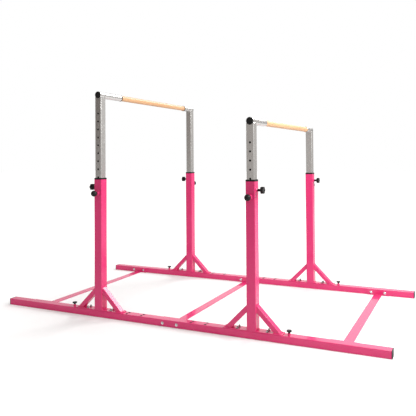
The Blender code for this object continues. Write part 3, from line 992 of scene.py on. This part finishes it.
def panScrew():
    # pan head with a cross recess, its underside at z = 0
    radius, side, shank = panHead["radius"], panHead["side"], panHead["shank"]
    rise = panHead["height"] - side
    turns = [math.radians(turn) for turn in range(0, 91, 15)]
    dome = [(radius * math.sin(turn), side + rise * math.cos(turn)) for turn in turns]
    shaft = [(shank, 0), (shank, -0.0115), (0.0012, -0.0118), (0, -0.0118)]
    head = turned([*dome, (radius, 0), *shaft], 28)
    arm = extruded([roundedRectangle(*panHead["slot"], 0.0004, 3)], 0.0012, 0.006)
    for turn in (0, 90):
        head = carved(head, [moved(arm, Matrix.Rotation(math.radians(turn), 4, "Z"))])
    return head


def woodenBar(node):
    # rings along its length keep the shading even
    low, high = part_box(node)
    radius, half, edge = (high.x - low.x) / 2, (high.y - low.y) / 2, 0.0015
    straight, steps = 2 * half - 2 * edge, 24
    upper = [(0, half), (radius - edge, half), (radius, half - edge)]
    rings = [(radius, half - edge - straight * step / steps) for step in range(1, steps)]
    lower = [(radius, -half + edge), (radius - edge, -half), (0, -half)]
    return pointed(turned([*upper, *rings, *lower], 64), (0, 1, 0))


def barsAndPosts():
    post = telescopicPost()
    inside = postInsidePaintedShade()
    bead = saddleWeld()
    lid = barCap()
    band = woodRing()
    screw = pointed(panScrew(), (1, 0, 0))
    sleeves = {end: sleeveTube(end) for end in ends}
    for bar in bars:
        centre = middle(f"{bar}_wooden_bar")
        wood = beech(bar + "Beech", centre)
        node = f"{bar}_wooden_bar"
        turning = moved(woodenBar(node), Matrix.Translation(centre))
        placed(node + "_turning", turning, wood, bar, [node])
        for end, way in ends.items():
            here = at(centre.x, way * railY, centre.z)
            facing = here @ Matrix.Diagonal((1, -way, 1, 1))
            node = f"{bar}_{end}_post"
            placed(node + "_tube", moved(post, facing), steelUpright, bar, [node])
            # painted shade: a black sheet inside each post darkens its holes
            placed(node + "_inside", moved(inside, facing), blackCap, bar)
            tube = shifted(sleeves[end], x=centre.x, z=centre.z)
            placed(node + "_sleeve", tube, steelSleeve, bar)
            placed(node + "_weld", moved(bead, here), steelSleeve, bar)
            node = f"{bar}_{end}_cap"
            mouth = way * (railY + telescope["side"] / 2)
            spot = at(centre.x, mouth, centre.z)
            cover = moved(pointed(lid, (0, way, 0)), spot)
            placed(node + "_moulding", cover, blackCap, bar, [node])
            node = f"{bar}_{end}_screw"
            spot = at(centre.x + sleeve["radius"] + gap, screwSpot[end], centre.z)
            placed(node + "_pan", moved(screw, spot), zinc, bar, [node])
            if bar == "high_bar":
                node = f"{bar}_{end}_ring"
                here = moved(band, Matrix.Translation(middle(node)))
                placed(node + "_band", here, blackRubber, bar, [node])


barsAndPosts()
print("bars made")

pullPin = {
    "start": 0.0515, "ball": 0.0205, "neck": 0.011, "radius": 0.0048,
    "tip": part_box("rear_right_pull_pin")[0].y - railY,
}


def pinPlunger():
    # along +Z from the post's centre, with a clip groove near the ball
    tip, radius, stop = pullPin["tip"], pullPin["radius"], pullPin["start"] - gap
    groove = pullPin["start"] - 0.005
    upper = [(0, stop), (radius, stop), (radius, groove + 0.0012), (radius - 0.0006, groove + 0.0008)]
    lower = [(radius - 0.0006, groove), (radius, groove - 0.0004)]
    nose = [(radius, tip + 0.0012), (radius - 0.0012, tip), (0, tip)]
    return turned([*upper, *lower, *nose], 28)


def pinBall():
    # a moulded ball with a flat nose, a parting line and a short neck
    radius, start = pullPin["ball"], pullPin["start"]
    lowest = math.degrees(math.asin(pullPin["neck"] / radius))
    centre = start + radius * math.cos(math.radians(lowest))
    profile = [(0, centre + radius * 0.985)]
    flat, steps = 10, 24
    for number in range(1, steps + 1):
        turn = math.radians(flat + (180 - lowest - flat) * number / steps)
        ridge = 0.00025 if number in (12, 13) else 0
        profile.append(((radius + ridge) * math.sin(turn), centre + radius * math.cos(turn)))
    return turned([*profile, (0.0062, start), (0.0056, start + 0.0008), (0, start + 0.0008)], 48)


clampKnob = {
    "start": 0.0605,
    "stop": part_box("rear_right_clamp_knob")[1].x - postX,
    "radius": 0.0225, "edge": 0.0024, "lobes": 6, "lobeDepth": 0.0036,
    "neck": 0.0078, "flare": 0.0068, "flareLength": 0.0115,
    "stud": 0.004, "studTop": 0.05, "threadTop": 0.0372,
}


def lobedOutline(radius, depth, count, steps):
    points = []
    for number in range(steps):
        turn = 2 * math.pi * number / steps
        reach = radius - depth * (0.5 - 0.5 * math.cos(count * turn)) ** 1.6
        points.append((reach * math.cos(turn), reach * math.sin(turn)))
    return points


def dish(radius, depth, stop, steps):
    # cuts the shallow hollow in a knob's face at z = stop
    low, high = stop - depth, stop + 0.004
    return turned([(0, low), (radius - 0.001, low), (radius, stop), (radius, high), (0, high)], steps)


def starKnob():
    # along +Z from the post's centre: lobed head and tapered neck
    knob = clampKnob
    start, stop, neck = knob["start"], knob["stop"], knob["neck"]
    outline = lobedOutline(knob["radius"], knob["lobeDepth"], knob["lobes"], 144)
    head = softened(extruded([outline], start, stop), knob["edge"], 4)
    wide, length, steps = knob["flare"], knob["flareLength"], 6
    shoulder = [(0, start + 0.002), (neck + wide, start + 0.002)]
    flare = [
        (neck + wide * (1 - step / steps) ** 1.7, start - length * step / steps)
        for step in range(steps + 1)
    ]
    neckStart = upright["side"] / 2 + clampBoss["length"] + gap
    foot = [(neck, neckStart + 0.0006), (neck - 0.0006, neckStart), (0, neckStart)]
    stem = turned([*shoulder, *flare, *foot], 40)
    return joined("starKnob", [carved(head, [dish(0.0104, 0.0006, stop, 40)]), stem])


def clampStud():
    # its tip stands just off the telescopic post
    tip = telescope["side"] / 2 + 0.0006
    radius = clampKnob["stud"]
    profile = [(0, clampKnob["studTop"]), (radius, clampKnob["studTop"])]
    z = clampKnob["threadTop"]
    while z > tip + 0.002:
        profile += [(radius, z), (radius - 0.0005, z - 0.0006)]
        z -= threadPitch
    return turned([*profile, (radius - 0.001, tip), (0, tip)], 24)


def flutedKnob():
    # the small rail knob on top of its boss, its head fluted for the fingers
    knob = railKnob
    start, stop = knob["bossTop"] + gap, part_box("front_right_rail_knob")[1].z
    under = stop - knob["headHeight"]
    outline = lobedOutline(knob["radius"], knob["fluteDepth"], knob["flutes"], knob["flutes"] * 8)
    head = softened(extruded([outline], under, stop), 0.0014, 3)
    shoulder = under + 0.0002
    taper = [(0.0110, shoulder + 0.001), (0.0085, shoulder - 0.0012), (0.0068, shoulder - 0.003)]
    foot = [(0.0064, start + 0.0006), (0.0058, start), (0, start)]
    neck = turned([(0, shoulder + 0.001), *taper, *foot], 36)
    return joined("flutedKnob", [carved(head, [dish(0.0092, 0.0007, stop, 36)]), neck])


def railStud():
    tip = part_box("front_right_rail_knob")[0].z
    radius, stop = clampKnob["stud"], railKnob["bossTop"] - 0.0002
    return turned([(0, stop), (radius, stop), (radius, tip + 0.001), (radius - 0.001, tip), (0, tip)], 24)


def adjusters():
    plunger, ball, star, stud = pinPlunger(), pinBall(), starKnob(), clampStud()
    fluted, shank = flutedKnob(), railStud()
    for end, side in places:
        way, hand = ends[end], sides[side]
        foot = at(hand * postX, way * railY, pinZ)
        node = f"{end}_{side}_pull_pin"
        pin = moved(pointed(plunger, (0, way, 0)), foot)
        placed(node + "_plunger", pin, zinc, node, [node])
        grip = moved(pointed(ball, (0, way, 0)), foot)
        placed(node + "_ball", grip, blackKnob, node, [node + "_knob"])
        foot = at(hand * postX, way * railY, clampZ)
        node = f"{end}_{side}_clamp_knob"
        grip = moved(pointed(star, (hand, 0, 0)), foot)
        placed(node + "_star", grip, blackKnob, node, [node])
        placed(node + "_stud", moved(pointed(stud, (hand, 0, 0)), foot), zinc, node)
        foot = at(hand * railKnob["x"], way * railY, 0)
        node = f"{end}_{side}_rail_knob"
        placed(node + "_head", moved(fluted, foot), blackKnob, node, [node])
        placed(node + "_stud", moved(shank, foot), zinc, node)


adjusters()
print("adjusters made")


# the pale studio
floorLook = {"pale": (0.82, 0.82, 0.82), "dull": (0.80, 0.80, 0.80), "nearGlow": 0.14, "farGlow": 0.5, "size": 30}


def studioFloor():
    # matt, with a little glow for the camera only, more of it farther out
    look = floorLook
    finish = Finish("studioFloor")
    grain = finish.noise(finish.position(), 60, 2)
    tone = finish.mixed(grain, rgba(look["dull"]), rgba(look["pale"]))
    matte = finish.node("ShaderNodeBsdfDiffuse", {}, {"Color": tone})
    eye = finish.node("ShaderNodeLightPath", {}, {}, "Is Camera Ray")
    length = {"operation": "LENGTH"}
    reach = finish.node("ShaderNodeVectorMath", length, {0: finish.position()}, "Value")
    glow = eye * (reach.above(1.0, 1.8) * look["farGlow"] + look["nearGlow"])
    glow = finish.node("ShaderNodeEmission", {}, {"Color": rgba((1, 1, 1)), "Strength": glow})
    both = finish.node("ShaderNodeAddShader", {}, {0: matte, 1: glow})
    finish.node("ShaderNodeOutputMaterial", {}, {"Surface": both})
    shape = bmesh.new()
    bmesh.ops.create_grid(shape, x_segments=2, y_segments=2, size=look["size"])
    floor = meshObject("studio_floor", shape)
    floor.location.z = cadBox[0].z - 0.0005
    floor.data.materials.append(finish.material)


skyLook = {
    "base": 0.37, "right": 0.37, "behind": 0.10, "above": 0.22,
    "wall": 0.78, "window": 0.42, "shade": (1.0, 0.87, 0.80),
}


def studioWorld():
    # white to the camera; for the object a soft gradient, brighter above and from +X,
    # with a lit wall low behind and a window in front
    look = skyLook
    world = bpy.data.worlds.new("studio")
    bpy.context.scene.world = world
    sky = Finish("studio", world)
    way = sky.node("ShaderNodeTexCoord", {}, {}, "Generated")
    x, y, z = (sky.node("ShaderNodeSeparateXYZ", {}, {"Vector": way}, axis) for axis in "XYZ")
    slope = x * look["right"] + y * look["behind"] + z * look["above"] + look["base"]
    low = z.above(0.14, 0.06) * (1 - z.above(0.38, 0.15))
    wall = y.above(0.4, 0.4) * (1 - x.above(-0.2, 0.45)) * low
    window = ((x + 0.62) * 1.1).clipped(0, look["window"]) * (0 - y).above(0.45, 0.25)
    light = slope.clipped(0.15, 2.0) + wall * look["wall"] + window
    tint = sky.mixed(light.above(0.2, 0.6), rgba(look["shade"]), rgba((1, 1, 1)))
    soft = sky.node("ShaderNodeBackground", {}, {"Color": tint, "Strength": light})
    white = sky.node("ShaderNodeBackground", {}, {"Color": rgba((1, 1, 1)), "Strength": 1.0})
    eye = sky.node("ShaderNodeLightPath", {}, {}, "Is Camera Ray")
    both = sky.node("ShaderNodeMixShader", {}, {0: eye, 1: soft, 2: white})
    sky.node("ShaderNodeOutputWorld", {}, {"Surface": both})


def studioLight(name, spot, target, size, power):
    lamp = bpy.data.lights.new(name, "AREA")
    lamp.shape = "SQUARE"
    lamp.size = size
    lamp.energy = power
    holder = linked(name, lamp)
    holder.location = spot
    holder.rotation_euler = (Vector(target) - Vector(spot)).to_track_quat("-Z", "Y").to_euler()


def studioCamera():
    spot = Vector((1.7647, -3.5051, 1.0939))
    turn, tilt, roll = 0.4069, 0.0220, 0.0085
    lens = bpy.data.cameras.new("camera")
    lens.sensor_width = 36
    lens.lens = 44.35
    lens.shift_x = -0.0889
    lens.shift_y = -0.1518
    eye = linked("camera", lens)
    aim = Vector((-math.sin(turn) * math.cos(tilt), math.cos(turn) * math.cos(tilt), math.sin(tilt)))
    level = aim.to_track_quat("-Z", "Y").to_matrix().to_4x4()
    eye.matrix_world = Matrix.Translation(spot) @ level @ Matrix.Rotation(-roll, 4, "Z")
    bpy.context.scene.camera = eye


studioFloor()
studioWorld()
studioLight("keyLight", spot=(3.3, -0.45, 2.0), target=(0, 0.2, 0.5), size=1.8, power=16)
studioLight("backLight", spot=(1.19, 5.27, 5.54), target=(0, 0, 0.1), size=3.0, power=254)
studioLight("innerLight", spot=(2.2, -0.45, 2.4), target=(0, 0.63, 0.4), size=1.2, power=60)
studioCamera()
bpy.context.scene.view_settings.view_transform = "Standard"
print("studio made")
